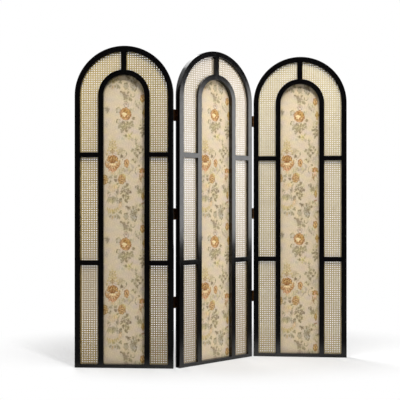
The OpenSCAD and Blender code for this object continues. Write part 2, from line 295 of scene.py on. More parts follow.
def inside_bay(kind, x, z, e):
    ax = np.abs(x)
    if kind in BAY_Z:
        z0, z1 = BAY_Z[kind]
        return (ax > INNER_OUT - e) & (ax < OUTER_IN + e) & (z > z0 - e) & (z < z1 + e)
    r = np.where(z > SPRING_Z, np.hypot(ax, z - SPRING_Z), ax)
    return (r > INNER_OUT - e) & (r < OUTER_IN + e) & (ax > CROWN_HALF - e) & \
        (z > UPPER_RAIL_Z + CROSS_RAIL_HALF - e)


def runs_inside(kind, side, point, d):
    """The stretches of the line point + s d that lie in the bay on one side."""
    def within(s):
        x, z = point[0] + s * d[0], point[1] + s * d[1]
        return inside_bay(kind, x, z, GRIP) & (x * side > 0)

    s = np.arange(-LINE_REACH, LINE_REACH, 1.0)
    change = np.diff(within(s).astype(int), prepend=0, append=0)
    found = []
    for i, j in zip(np.flatnonzero(change > 0), np.flatnonzero(change < 0) - 1):
        ends = []
        for inner, outer in ((s[i], s[i] - 1), (s[j], s[j] + 1)):
            for _ in range(BISECTIONS):
                m = (inner + outer) / 2
                inner, outer = (m, outer) if within(m) else (inner, m)
            ends.append(inner)
        if ends[1] - ends[0] > SHORTEST_RUN:
            found.append(ends)
    return found


class Weave:
    def __init__(self, seed):
        self.verts, self.quads, self.tris, self.fibre = [], [], [], []
        self.count = 0
        self.random = np.random.default_rng(seed)

    def strand(self, kind, side, point, d, marks, rises):
        """One strand along a line. marks and rises give its height along one repeat."""
        length = hypot(*d)
        unit = np.array(d) / length
        period = marks[-1] - marks[0]
        for lo, hi in runs_inside(kind, side, point, unit):
            first = floor((lo - marks[0]) / period) - 1
            last = ceil((hi - marks[0]) / period) + 1
            s = np.concatenate([np.array(marks[:-1]) + k * period for k in range(first, last)])
            y = np.tile(rises[:-1], last - first)
            keep = (s > lo + END_GAP) & (s < hi - END_GAP)
            at = np.concatenate([[lo], s[keep], [hi]])
            rise = np.interp(at, s, y)
            n = len(at)
            # each strand has its own width, and wanders a little to the side
            w = STRAND_W * self.random.uniform(0.93, 1.07) * (1 + self.random.normal(0, 0.02, n)) / 2
            drift = self.random.normal(0, 0.10) + np.cumsum(self.random.normal(0, 0.02, n))
            side_way = np.array([-unit[1], unit[0]])
            centre = np.array(point) + at[:, None] * unit + drift[:, None] * side_way
            mid_y = CANE_DEPTH + CANE_T / 2 + rise
            rows = []
            for across, lift in SECTION:
                p = centre + (across * w)[:, None] * side_way
                rows.append(np.stack([p[:, 0], mid_y + lift * STRAND_T, p[:, 1]], 1))
            ring = np.stack(rows, 1).reshape(-1, 3)
            base = self.count
            self.verts.append(ring)
            i = np.arange(n - 1)[:, None] * 3 + base
            for a, b in ((0, 1), (1, 2), (2, 0)):
                self.quads.append(np.concatenate([i + a, i + b, i + b + 3, i + a + 3], 1))
            e = base + (n - 1) * 3
            self.tris.append(np.array([[base, base + 2, base + 1], [e, e + 1, e + 2]]))
            tint = np.full(3 * n, self.random.uniform(0, 1))
            self.fibre.append(np.stack([np.repeat(at, 3), np.tile([-1.0, 0.0, 1.0], n), tint], 1))
            self.count += 3 * n


def strand_sides(a, b):
    """Marks the edges that run along the two sides of a strand: its rings have three corners."""
    return (a % 3 == b % 3) & (a % 3 != 1)


def weave_bay(kind, seed):
    """The woven cane of the two bays of one kind, on both sides of a panel."""
    weave = Weave(seed)
    z0, z1 = WOVEN_Z[kind]
    j0 = floor((z0 - LATTICE_Z) / PITCH_Z) - 1
    j1 = ceil((z1 - LATTICE_Z) / PITCH_Z) + 1
    cell = hypot(PITCH_X, PITCH_Z)

    def two_strands(side, x, z, d, start, pitch, rise):
        for pair in (-1, 1):
            marks = start + np.array([-PAIR, PAIR, pitch / 2, pitch - PAIR])
            point = (x + pair * PAIR * d[1], z + pair * PAIR * d[0])
            weave.strand(kind, side, point, d, marks, np.array([-1, 1, 0, -1]) * rise * pair)

    for side in (-1, 1):
        for k in WOVEN_COLUMNS:
            x = k * PITCH_X + LATTICE_X * side
            if 0 <= x * side <= OUTER_IN + 2 * PITCH_X:
                two_strands(side, x, 0.0, (0, 1), LATTICE_Z, PITCH_Z, RISE)
        for j in range(j0, j1):
            two_strands(side, 0.0, LATTICE_Z + j * PITCH_Z, (1, 0), LATTICE_X * side, PITCH_X, -RISE)
        for lean in (-1, 1):
            for j in range(j0 - LEANING_ROWS, j1 + LEANING_ROWS):
                point = (LATTICE_X * side, LATTICE_Z + (j + 0.5) * PITCH_Z)
                marks = cell * np.array([-NEAR, NEAR, 0.5 - NEAR, 0.5 + NEAR, 1 - NEAR])
                rises = np.array([-1, -1, 1, 1, -1]) * CROSS_RISE * lean
                weave.strand(kind, side, point, (PITCH_X, PITCH_Z * lean), marks, rises)
    verts = np.concatenate(weave.verts)
    polys = [np.concatenate(weave.quads), np.concatenate(weave.tris)]
    return verts, polys, np.concatenate(weave.fibre)


# The floral design is drawn with simple shapes on a canvas that covers one repeat. u runs
# to the right and v up, in mm from the middle of the main rose. Colours are sRGB, 0 to 255.
TEXEL = 0.8
CANVAS_HALF = 164.0
REPEAT = 748.0
OUTLINE_WANDER = 1.5
SOFT_EDGE = 1.6
YARN_LIFT = 0.7
COLS = int(2 * CANVAS_HALF / TEXEL)
ROWS = int(round(REPEAT / TEXEL))
STEP_V = REPEAT / ROWS
GROUND = np.array([230, 212, 182], float)
GREY = (156, 139, 104)
DARK = (130, 111, 76)
HAZE = (208, 195, 163)
MAUVE = (192, 172, 146)
OLIVE = (180, 161, 105)
LIME = (206, 191, 128)
CREAM = (251, 226, 172)
ORANGE = (206, 150, 84)
RUST = (170, 110, 52)
BROWN = (136, 86, 38)
PEACH = (236, 203, 154)
OCHRE = (202, 166, 96)
BRONZE = (166, 124, 62)
PINK = (220, 191, 168)


def soft(t):
    return np.clip(0.5 + t / SOFT_EDGE, 0, 1)


class Canvas:
    def __init__(self):
        self.colour = np.tile(GROUND, (ROWS, COLS, 1))
        self.lift = np.zeros((ROWS, COLS))

    def put(self, u, v, reach, shape, colour, cover):
        """Lays one shape on the canvas. shape(x, y) is 1 inside it and 0 outside."""
        j = np.arange(floor((v - reach) / STEP_V), ceil((v + reach) / STEP_V) + 1)
        i = np.arange(floor((u - reach + CANVAS_HALF) / TEXEL),
                      ceil((u + reach + CANVAS_HALF) / TEXEL) + 1)
        i = i[(i >= 0) & (i < COLS)]
        if not len(i):
            return
        x, y = np.meshgrid(i * TEXEL - CANVAS_HALF - u, j * STEP_V - v)
        at = np.ix_(j % ROWS, i)
        c = shape(x, y) * cover
        self.colour[at] += (np.asarray(colour, float) - self.colour[at]) * c[..., None]
        self.lift[at] += (YARN_LIFT - self.lift[at]) * c

    def dab(self, u, v, length, width, angle, colour=DARK, cover=0.8, point=1.0):
        """A soft leaf-shaped touch about its middle. point is 0.5 for an oval, 1 for a leaf."""
        ca, sa = way(angle)

        def shape(x, y):
            along, across = (x * ca + y * sa) * 2 / length, -x * sa + y * ca
            half = width / 2 * np.clip(1 - along * along, 0, 1) ** point
            return soft(half - np.abs(across)) * (np.abs(along) < 1)
        self.put(u, v, (length + width) / 2 + 2, shape, colour, cover)

    def oval(self, u, v, a, b, colour, cover=0.9, angle=0.0):
        self.dab(u, v, 2 * a, 2 * b, angle, colour, cover, 0.5)

    def ring(self, u, v, a, b, start, end, width, colour, cover):
        """A part of an oval's outline, from one angle to the other, thinner at its ends."""
        span = (end - start) / 2

        def shape(x, y):
            p, q = x / a, y / b
            turn = (np.degrees(np.arctan2(q, p)) - (start + span) + 540) % 360 - 180
            t = np.clip(1 - (turn / span) ** 2, 0, 1) if span < 180 else np.ones_like(turn)
            off = np.abs(np.hypot(p, q) - 1) * sqrt(a * b)
            return soft(width / 2 * t ** 0.35 - off) * (t > 0)
        self.put(u, v, max(a, b) + width + 2, shape, colour, cover)

    def stroke(self, start, middle, end, width, colour=DARK, cover=0.8):
        """A curved line through three points, thinner at its ends."""
        p = np.array([start, middle, end], float)
        t = np.linspace(0, 1, 12)[:, None]
        mid = 2 * p[1] - (p[0] + p[2]) / 2
        curve = (1 - t) ** 2 * p[0] + 2 * t * (1 - t) * mid + t ** 2 * p[2]
        centre = (curve.min(0) + curve.max(0)) / 2
        reach = (curve.max(0) - curve.min(0)).max() / 2 + width + 2

        def shape(x, y):
            best = np.full(x.shape, -1e9)
            for k in range(len(curve) - 1):
                a, b = curve[k] - centre, curve[k + 1] - centre
                d = b - a
                s = np.clip(((x - a[0]) * d[0] + (y - a[1]) * d[1]) / (d @ d + 1e-9), 0, 1)
                w = width / 2 * (0.45 + 0.55 * sin(pi * (k + 0.5) / (len(curve) - 1)))
                best = np.maximum(best, w - np.hypot(x - a[0] - s * d[0], y - a[1] - s * d[1]))
            return soft(best)
        self.put(*centre, reach, shape, colour, cover)

    def leaf(self, u, v, length, width, angle, fill=HAZE, edge=GREY, cover=0.85, rim=2.4):
        """A leaf from its stalk end, with a rim and a midrib in a darker yarn."""
        ca, sa = way(angle)
        mid = (u + ca * length / 2, v + sa * length / 2)
        self.dab(*mid, length, width, angle, edge, cover)
        self.dab(*mid, length - 2.5 * rim, width - 2 * rim, angle, fill, cover)
        self.stroke((u + ca * length * 0.1, v + sa * length * 0.1), mid,
                    (u + ca * length * 0.8, v + sa * length * 0.8), 1.6, edge, 0.55)

    def petals(self, u, v, count, radius, a, b, start, span, fill, edge, squash=1.0):
        """Rounded petals along an arc about u, v, each with a darker outer rim."""
        for k in range(count):
            angle = start + span * (k / max(count - 1, 1) if span < 360 else k / count)
            ca, sa = way(angle)
            x, y = u + ca * radius, v + sa * radius * squash
            self.oval(x, y, a, b, edge, 0.9, angle)
            self.oval(x - ca * 1.6, y - sa * 1.6, a - 2.0, b - 1.7, fill, 0.9, angle)


def sprig(c, u, v, length, width, angle, yarn, cover):
    """A leaf with a pale midrib and two small leaflets beside it."""
    c.dab(u, v, 1.5 * length, 2.3 * width, angle, (206, 188, 152), 0.45, 0.6)
    c.dab(u, v, 1.1 * length, 1.15 * width, angle, yarn, cover, 0.7)
    if yarn in (GREY, DARK) and length > 14:
        for lean in (-1, 1):
            ca, sa = way(angle + 62 * lean)
            c.dab(u + ca * width * 0.75, v + sa * width * 0.75, length * 0.52, width * 0.55,
                  angle + 38 * lean, yarn, 0.8 * cover, 0.7)
        c.dab(u, v, length * 0.6, 1.8, angle, HAZE, 0.6)


# Leaves under the main rose, as (u, v, angle), and its petals, as (angle, distance, a, b).
ROSE_LEAVES = [
    (-26, -60, 40), (-14, -52, 80), (-2, -62, 96), (12, -54, 70), (24, -62, 120), (34, -50, 30),
    (46, -28, -40), (-34, -76, 64), (-16, -76, 110), (6, -80, 80), (24, -80, 60), (40, -68, 24),
]
ROSE_PETALS = [
    (0, 25, 14, 10), (45, 25, 13, 9), (88, 27, 15, 9), (133, 26, 14, 8), (175, 25, 13, 8),
    (214, 26, 13, 8), (250, 27, 15, 9), (288, 28, 15, 10), (325, 27, 14, 10),
]


def main_rose(c):
    # what grows about the flower
    c.leaf(4, 50, 26, 24, 90, PINK, GREY, 0.8, 3)
    c.stroke((3, 36), (-8, 48), (-7, 62), 4, GREY)
    c.stroke((6, 36), (18, 46), (17, 60), 4, GREY)
    for side, u, v in ((1, -41, 20), (-1, 41, 18)):
        c.oval(u, v, 12, 15, HAZE, 0.7)
        c.ring(u, v, 12, 15, 90 - 160 * side, 90 + 40 + 110 * (side > 0), 4.2, GREY, 0.85)
    c.oval(-38, -44, 13, 12, HAZE, 0.6)
    c.ring(-38, -44, 13, 13, 30, 300, 4.4, GREY, 0.85)
    for u, v, angle in ROSE_LEAVES:
        sprig(c, u, v, 19, 9, angle, GREY if (u + v) % 3 else DARK, 0.8)
    c.stroke((2, -40), (-4, -62), (-14, -90), 3.4, DARK, 0.7)
    # outer petals, with darker edges and light streaks
    for turn, far, a, b in ROSE_PETALS:
        ca, sa = way(turn)
        c.oval(far * ca, far * sa, a, b, RUST, 0.75, turn + 90)
        c.oval(far * 0.93 * ca, far * 0.93 * sa, a - 3, b - 2.8, (218, 168, 104), 0.95, turn + 90)
    c.oval(1, -2, 23, 25, (212, 160, 96), 0.95)
    # inner folds
    c.dab(0, 16, 40, 17, 0, (188, 134, 66), 0.75, 0.5)
    c.ring(0, -1, 24, 25, 20, 200, 4.6, RUST, 0.9)
    c.ring(-2, -2, 20, 21, 150, 330, 4.6, BRONZE, 0.85)
    c.ring(6, -5, 22, 22, -85, 60, 5, BROWN, 0.7)
    c.ring(15, -14, 10, 10, -140, 100, 4.6, BRONZE, 0.75)
    c.dab(13, -13, 12, 9, 30, (240, 200, 138), 0.85, 0.5)
    c.dab(13, 17, 15, 8, -30, (236, 192, 128), 0.8, 0.5)
    c.dab(-17, 16, 15, 8, 40, (236, 192, 128), 0.8, 0.5)
    c.dab(2, -31, 20, 7, 0, (236, 192, 128), 0.8, 0.5)
    # pale heart, which narrows downwards, with dark folds above it
    c.dab(-6, -4, 44, 28, 0, RUST, 0.8, 0.6)
    c.dab(-6, 0, 37, 14, -5, CREAM, 1, 0.5)
    c.dab(-6, -8, 23, 20, 90, CREAM, 1, 0.6)
    for u, v, length in ((-13, 11, 10), (-3, 14, 20), (8, 11, 10)):
        c.dab(u, v, length, 6, 90, BROWN, 0.9)


def peony(c, u, v):
    """The large flower: a latticed spire, a scalloped dome, a fan of pale petals and a cup."""
    gold = (196, 164, 100)
    c.dab(u, v + 88, 92, 44, 90, (218, 196, 142), 0.55, 0.9)
    for lean in (-1, 1):
        for k in range(5):
            low = v + 46 + 17 * k
            half = 22 - 4 * k
            c.stroke((u + lean * half, low), (u + lean * half * 0.2, low + 9),
                     (u - lean * half * 0.5, low + 20), 2.8, gold if k > 1 else BRONZE, 0.7)
            c.leaf(u + lean * (half + 3), low - 2, 17, 7, 90 - 34 * lean, LIME, OCHRE, 0.6, 1.6)
        c.stroke((u + lean * 26, v + 40), (u + lean * 38, v + 52), (u + lean * 44, v + 66), 3.6, GREY, 0.6)
    c.dab(u, v + 66, 40, 6, 90, BRONZE, 0.75)
    # cup, drawn as layered petals that curve up on both sides
    for lean in (-1, 1):
        for out, low, width, yarn in ((40, 30, 6.5, RUST), (34, 36, 5.5, ORANGE), (28, 41, 5.5, RUST),
                                      (21, 46, 5, ORANGE)):
            c.stroke((u + lean * out, v + 14 - (40 - out)), (u + lean * (out - 1), v - low * 0.5),
                     (u + lean * (out - 20), v - low - 6), width, yarn, 0.85)
    c.oval(u, v - 42, 22, 11, (214, 156, 104), 0.9)
    for k in range(-3, 4):
        yarn = RUST if k % 2 else (232, 178, 128)
        c.dab(u + 7.5 * k, v - 45 + abs(k) * 3, 20, 4.6, 90 - 9 * k, yarn, 0.85)
    # fan of pale petals with dark gaps
    c.oval(u, v - 15, 29, 20, RUST, 0.85)
    for k in range(-3, 4):
        angle = -90 + 26 * k
        ca, sa = way(angle)
        reach = 18 + 2 * abs(k)
        c.dab(u + ca * reach, v - 3 + sa * reach * 0.92, 33, 7.4, angle, CREAM, 1, 0.6)
        c.dab(u + ca * reach * 1.2, v - 3 + sa * reach * 1.1, 20, 3.2, angle, RUST, 0.8)
    # dome
    c.oval(u, v + 22, 31, 21, RUST, 0.95)
    for radius, count, start, span, a, fill in ((25, 7, -12, 204, 8.2, (218, 166, 98)),
                                                (12, 4, 5, 170, 7, (228, 182, 116))):
        for k in range(count):
            ca, sa = way(start + span * k / (count - 1))
            c.oval(u + ca * radius, v + 17 + sa * radius * 0.8, a, a * 0.82, BROWN, 0.75)
            c.oval(u + ca * radius, v + 18 + sa * radius * 0.8, a - 2.8, a * 0.82 - 2.2, fill, 0.95)
    c.dab(u, v + 6, 20, 7, 90, BROWN, 0.95, 0.6)
    for lean in (-1, 1):
        c.stroke((u + lean * 29, v + 6), (u + lean * 15, v + 5), (u + lean * 4, v - 4), 3, BROWN)


def bud(c, u, v, a, b, fill, edge):
    """A closed rose seen from the side, with one petal folded round the next."""
    c.oval(u, v, b, a, edge, 0.9, 90)
    c.oval(u + a * 0.1, v + 1, b - 3.4, a - 3.2, fill, 0.95, 90)
    c.ring(u + a * 0.05, v + b * 0.08, a * 0.6, b * 0.62, 60, 420, 3.2, edge, 0.85)
    c.oval(u + a * 0.05, v + b * 0.1, b * 0.56, a * 0.6, (240, 200, 132), 0.95, 90)
    c.dab(u + a * 0.1, v + b * 0.08, b * 0.8, a * 0.56, 90, BROWN, 0.95, 0.6)
    c.stroke((u - a * 0.8, v + b * 0.3), (u - a * 0.7, v - b * 0.5), (u + a * 0.2, v - b * 0.85),
             2.8, CREAM, 0.6)


def open_rose(c, u, v, a, b, fill, edge, core, turn=0):
    """A rose seen from the front, with two rounds of petals about its heart."""
    c.oval(u, v, a * 0.95, b * 0.95, edge, 0.85)
    c.petals(u, v, 7, a * 0.68, a * 0.4, a * 0.34, turn, 360, fill, edge, b / a)
    c.ring(u, v, a * 0.52, b * 0.5, turn, turn + 300, 3.4, core, 0.7)
    c.petals(u, v, 4, a * 0.3, a * 0.3, a * 0.24, turn + 30, 360, (236, 198, 130), edge, b / a)
    c.oval(u, v, a * 0.3, b * 0.26, (238, 196, 120), 0.95)
    c.oval(u + 1, v, a * 0.18, a * 0.18, core, 0.95)


# Leaves and dabs of the sprays, as (u, v, length, width, angle, yarn).
SPRAYS = [
    # under the main rose
    (-8, -87, 17, 10, -50, DARK), (5, -96, 17, 9, -48, DARK), (-19, -98, 25, 10, 82, GREY),
    (-14, -84, 12, 9, 0, GREY), (-1, -126, 20, 7, -8, DARK), (38, -110, 18, 6, 70, OLIVE),
    (40, -147, 14, 10, 70, MAUVE), (61, -154, 28, 6, 92, GREY), (-14, -142, 14, 6, 20, HAZE),
    # at the right edge, beside it
    (88, -67, 12, 9, 50, DARK), (105, -67, 13, 8, 100, DARK), (82, -85, 15, 8, -42, DARK),
    (95, -84, 17, 8, 42, DARK), (108, -89, 18, 8, 84, DARK), (90, -109, 18, 8, -58, DARK),
    (99, -99, 13, 7, 50, GREY), (107, -115, 17, 8, 62, DARK), (97, -127, 15, 8, 80, DARK),
    (113, -103, 14, 8, 100, GREY), (98, -46, 30, 16, 84, HAZE), (-104, 22, 36, 13, 90, GREY),
    (-108, -62, 24, 9, 84, HAZE),
    # tall spray right of the peony
    (41, -211, 18, 9, 48, GREY), (70, -188, 17, 8, 40, GREY), (89, -192, 19, 9, 100, GREY),
    (72, -209, 17, 9, 70, DARK), (84, -224, 15, 9, -50, DARK), (56, -228, 22, 8, 100, GREY),
    (68, -244, 22, 8, 104, DARK), (108, -232, 40, 6, 72, OLIVE), (43, -266, 15, 9, 10, DARK),
    (55, -270, 22, 15, 50, HAZE), (56, -276, 14, 7, 60, GREY), (92, -262, 30, 12, 70, MAUVE),
    (102, -284, 30, 12, 110, HAZE), (78, -299, 15, 7, 68, GREY), (60, -207, 20, 7, 70, GREY),
    (97, -210, 20, 7, 60, GREY), (77, -174, 18, 7, 60, HAZE), (62, -174, 20, 7, 110, GREY),
    # beside and below the peony
    (-26, -213, 30, 20, 78, MAUVE), (-22, -246, 20, 11, 42, DARK), (-40, -228, 20, 8, 110, OLIVE),
    (20, -322, 18, 14, 40, LIME), (-13, -322, 15, 11, 60, OLIVE), (4, -325, 22, 11, 24, MAUVE),
    (-28, -334, 36, 15, 66, HAZE), (-86, -363, 20, 9, 30, GREY), (-58, -361, 20, 9, -30, GREY),
    (-56, -381, 18, 9, -52, DARK), (-88, -392, 20, 9, 60, GREY), (-72, -340, 24, 14, 0, PEACH),
    (-44, -402, 14, 7, 20, GREY),
    # dark spray in the middle
    (8, -410, 22, 9, 58, DARK), (-3, -421, 16, 8, 52, GREY), (15, -437, 15, 10, 100, DARK),
    (-17, -429, 18, 8, 66, GREY), (-5, -443, 18, 8, 110, DARK), (10, -455, 18, 10, 0, DARK),
    (24, -452, 18, 9, 36, DARK), (-11, -473, 24, 8, 82, DARK), (2, -471, 24, 7, 92, GREY),
    (16, -481, 22, 9, 78, DARK), (4, -499, 24, 10, 114, DARK), (-20, -450, 24, 8, 52, GREY),
    (-45, -458, 16, 7, 60, GREY), (-27, -493, 15, 11, 20, DARK), (-34, -507, 18, 7, 50, GREY),
    (-30, -527, 34, 17, 70, PEACH), (-25, -511, 10, 7, 0, RUST), (30, -428, 14, 7, 50, HAZE),
    # right edge, below the pair of flowers
    (66, -420, 20, 9, 4, GREY), (81, -441, 42, 17, -52, GREY), (108, -432, 60, 9, 84, OLIVE),
    (100, -515, 24, 6, 30, RUST), (84, -522, 14, 6, 60, GREY), (72, -553, 20, 7, 46, DARK),
    (62, -538, 32, 12, 82, MAUVE), (104, -560, 34, 10, 80, HAZE), (98, -592, 30, 12, 70, HAZE),
    (112, -582, 20, 7, 60, GREY), (100, -617, 34, 8, -52, OLIVE),
    # grey flower and the leaves about it
    (16, -540, 28, 10, -34, DARK), (2, -578, 18, 11, 82, DARK), (-24, -624, 13, 10, 0, DARK),
    (-11, -629, 17, 12, -20, DARK), (-1, -647, 46, 15, -52, GREY), (15, -628, 14, 9, 60, GREY),
    (27, -664, 26, 9, -52, GREY), (30, -652, 14, 7, 70, HAZE), (-30, -566, 15, 11, 0, GREY),
    (-41, -592, 26, 10, -60, GREY), (-59, -590, 18, 8, 80, OLIVE), (-87, -590, 18, 9, 60, GREY),
    (-66, -569, 12, 8, 0, GREY), (-73, -597, 22, 8, 90, OCHRE), (-95, -566, 22, 8, 80, LIME),
]


# Soft clouds of yarn behind the groups, as (u, v, a, b).
CLOUDS = [
    (80, 40, 34, 40), (80, -230, 36, 60), (-10, -320, 40, 36), (-70, -376, 34, 28),
    (-66, -570, 36, 40), (4, -450, 34, 60), (44, -580, 30, 48), (84, -560, 30, 50),
    (0, -72, 34, 36), (-70, -180, 34, 46), (92, -430, 28, 60), (4, -640, 34, 34),
]
# Petals of the grey flower, as (u, v, length, width, angle).
GREY_PETALS = [
    (45, -540, 28, 8, -80), (33, -573, 48, 10, 80), (45, -578, 36, 8, 84), (57, -576, 54, 11, -78),
    (58, -612, 22, 11, 60), (41, -604, 28, 9, -52), (66, -560, 26, 8, 96),
]


def draw_design():
    """One repeat of a traditional floral brocade: roses, a peony, sprays and a grey flower."""
    c = Canvas()
    for u, v, a, b in CLOUDS:
        c.oval(u, v, b, a, (221, 206, 174), 0.55, 90)
    c.stroke((62, -140), (66, -200), (58, -268), 3, OLIVE, 0.55)
    c.stroke((4, -404), (-2, -450), (6, -505), 2.6, GREY, 0.6)
    c.stroke((12, -560), (16, -610), (4, -668), 3, GREY, 0.6)
    c.stroke((60, -600), (70, -560), (96, -540), 2.6, GREY, 0.5)
    for *leaf, yarn in SPRAYS:
        sprig(c, *leaf, yarn, 0.85 if yarn in (DARK, GREY) else 0.66)
    main_rose(c)
    # lily
    for a in (54, 122, 190, 250, 318):
        ca, sa = way(a)
        c.dab(24 + 11 * ca, -129 + 11 * sa, 20, 7, a, LIME, 0.75)
    c.dab(24, -128, 15, 11, 60, (184, 172, 102), 0.85)
    c.dab(22, -150, 13, 9, 80, LIME, 0.6)
    # curling leaf, bud and ochre flower at the right edge
    c.dab(84, 52, 46, 24, 112, HAZE, 0.7)
    c.stroke((59, 76), (63, 50), (92, 22), 6.5, GREY, 0.75)
    c.stroke((78, 74), (86, 52), (104, 34), 5, MAUVE, 0.6)
    bud(c, 98, 87, 14.5, 23, ORANGE, BRONZE)
    c.leaf(110, -24, 52, 24, 92, OCHRE, BRONZE, 0.85, 3)
    c.dab(108, -44, 26, 12, 80, OLIVE, 0.7)
    # leaves and loop left of the tall spray, then the peony and what hangs from it
    c.stroke((-12, -210), (7, -228), (-18, -267), 5.2, GREY, 0.75)
    c.stroke((27, -290), (45, -312), (10, -354), 6.5, MAUVE)
    c.stroke((34, -296), (40, -318), (14, -346), 2.6, GREY, 0.6)
    peony(c, -74, -280)
    bud(c, 7, -285, 14.5, 25, (226, 182, 124), RUST)
    open_rose(c, -20, -376, 22, 31, (222, 180, 120), BRONZE, BROWN, 20)
    c.dab(-8, -354, 24, 14, 130, (222, 200, 132), 0.8)
    c.ring(-20, -376, 20, 28, 110, 250, 4, BRONZE, 0.7)
    open_rose(c, -120, -378, 21, 29, (222, 186, 124), BRONZE, BROWN, 60)
    for k in range(-3, 4):
        c.leaf(-72 + 5.5 * k, -400, 56 - 4 * abs(k), 8, -90 + 7 * k, PEACH, (222, 190, 146), 0.5, 1.6)
    # the pair of flowers at the right edge
    c.ring(64, -328, 9, 17, 80, 300, 4.4, GREY, 0.75)
    c.petals(98, -330, 5, 10, 10, 8, -20, 220, ORANGE, BRONZE)
    c.dab(96, -330, 16, 10, 90, (232, 172, 140), 0.85)
    c.dab(96, -354, 34, 13, 84, (238, 196, 156), 0.85)
    c.stroke((80, -346), (84, -362), (78, -376), 5, BRONZE)
    c.stroke((112, -346), (104, -364), (114, -378), 5, BRONZE)
    c.stroke((94, -362), (88, -376), (94, -392), 7, BROWN, 0.75)
    c.dab(76, -388, 30, 14, 60, PINK, 0.7)
    # fan of leaves and its drops
    for k in range(-3, 4):
        c.leaf(-72 + 4 * k, -470 - 2 * abs(k), 44 - 2 * abs(k), 9, -90 + 13 * k, HAZE, GREY, 0.6, 1.5)
    for lean in (-1, 1):
        c.stroke((-72 + 10 * lean, -462), (-72 + 25 * lean, -480), (-72 + 26 * lean, -512), 4.2, GREY)
        sprig(c, -72 + 24 * lean, -452, 16, 9, 90 + 30 * lean, GREY, 0.75)
    c.dab(-72, -498, 42, 9, 90, GREY, 0.85)
    for k in range(-3, 4):
        c.leaf(-73 + 9 * k, -544 + 3 * abs(k), 36 - 3 * abs(k), 8, -90 + 6 * k, LIME, OCHRE, 0.6, 1.6)
    # ochre bell and its loops at the right edge
    c.leaf(100, -498, 46, 17, 88, OCHRE, BRONZE, 0.8, 2.8)
    c.ring(92, -540, 9.5, 13, 0, 359, 3.6, GREY, 0.7)
    # grey flower
    c.oval(47, -576, 42, 17, (198, 186, 160), 0.8, 86)
    for u, v, length, width, angle in GREY_PETALS:
        c.dab(u, v, length, width, angle, GREY if 9 <= width <= 10 else DARK, 0.7, 0.8)
    c.ring(43, -637, 12, 15, 170, 400, 4.8, GREY, 0.8)
    c.leaf(3, -612, 40, 25, 92, (200, 190, 162), GREY, 0.75, 3.2)
    c.ring(-34, -431, 9, 17, 60, 290, 3.8, GREY, 0.7)
    return c


def ripple(rng, shortest, longest, count):
    """A smooth random field over the canvas, which repeats with the design."""
    u = np.arange(COLS) * TEXEL
    v = np.arange(ROWS) * STEP_V
    total = np.zeros((ROWS, COLS))
    for _ in range(count):
        wave, turn = rng.uniform(shortest, longest), rng.uniform(0, 2 * pi)
        p, q = cos(turn) / wave, round(sin(turn) / wave * REPEAT) / REPEAT
        a = 2 * pi * (p * u[None, :] + q * v[:, None]) + rng.uniform(0, 2 * pi)
        total += np.sin(a)
    return total / sqrt(count / 2)


def age_design(canvas):
    """Gives the drawn shapes the uneven outlines and broken threads of a brocade."""
    rng = np.random.default_rng(7)
    i, j = np.meshgrid(np.arange(COLS), np.arange(ROWS))
    di = ripple(rng, 9, 24, 14) * OUTLINE_WANDER / TEXEL
    dj = ripple(rng, 9, 24, 14) * OUTLINE_WANDER / STEP_V
    at = (np.round(j + dj).astype(int) % ROWS, np.clip(np.round(i + di).astype(int), 0, COLS - 1))
    colour, canvas.lift = canvas.colour[at], canvas.lift[at]
    # single threads that are thin or missing
    speckle = rng.uniform(0, 1, (ROWS, COLS))
    speckle = sum(np.roll(speckle, k, 1) for k in range(-2, 3)) / 5
    speckle = (speckle + np.roll(speckle, 1, 0)) / 2
    keep = np.clip(1.02 - 3.2 * np.clip(speckle - 0.5, 0, 1) + 0.10 * ripple(rng, 5, 12, 12), 0.35, 1.0)
    colour = GROUND + (colour - GROUND) * keep[..., None]
    # slow changes of tone, and the threads' own light and dark
    tint = ripple(rng, 40, 120, 10)[..., None] * np.array([1.1, 0.1, -1.2])
    tint = tint + ripple(rng, 30, 90, 10)[..., None] * np.array([0.9, 1.4, -2.6])
    shade = ripple(rng, 14, 60, 14) * 1.6 + ripple(rng, 9, 16, 24) * 3.6 + (speckle - 0.5) * 20
    figured = np.abs(colour - GROUND).max(2) > 14
    shade = np.where(figured, 2.2, 1.0) * shade
    canvas.colour = np.clip(colour + tint + shade[..., None], 0, 255)
    return canvas


# each panel's strip of fabric: where its rose lies, and how far apart its roses are
CUTS = {"left": (5.0, 1447.0, 743.5), "middle": (4.0, 1459.5, 750.0), "right": (-4.0, 1471.0, 752.5)}


def linear(colour):
    c = colour / 255
    return np.where(c <= 0.04045, c / 12.92, ((c + 0.055) / 1.055) ** 2.4)


def sample(canvas, x, z, cut):
    du, rose_z, period = cut
    total = np.zeros((len(x), 3))
    lift = np.zeros(len(x))
    offsets = (-0.7, 0.0, 0.7)
    for ox in offsets:
        for oz in offsets:
            u = x + ox - du
            v = (z + oz - rose_z) * REPEAT / period
            i = np.clip(np.round((u + CANVAS_HALF) / TEXEL).astype(int), 0, COLS - 1)
            j = np.round(v / STEP_V).astype(int) % ROWS
            total += canvas.colour[j, i]
            lift += canvas.lift[j, i]
    return total / 9, lift / 9


SHEET_STEP = 2.15
SHEET_T = 0.7
SHEET_E = 7.2
SLIVER = 0.05
# how far the cloth stands forward over its board: everywhere and where it is figured, in mm,
# and within which distance of the frame it comes down to the board
CLOTH_LIFT = 0.15
FIGURE_LIFT = 0.22
LIFT_FADE = 6.0


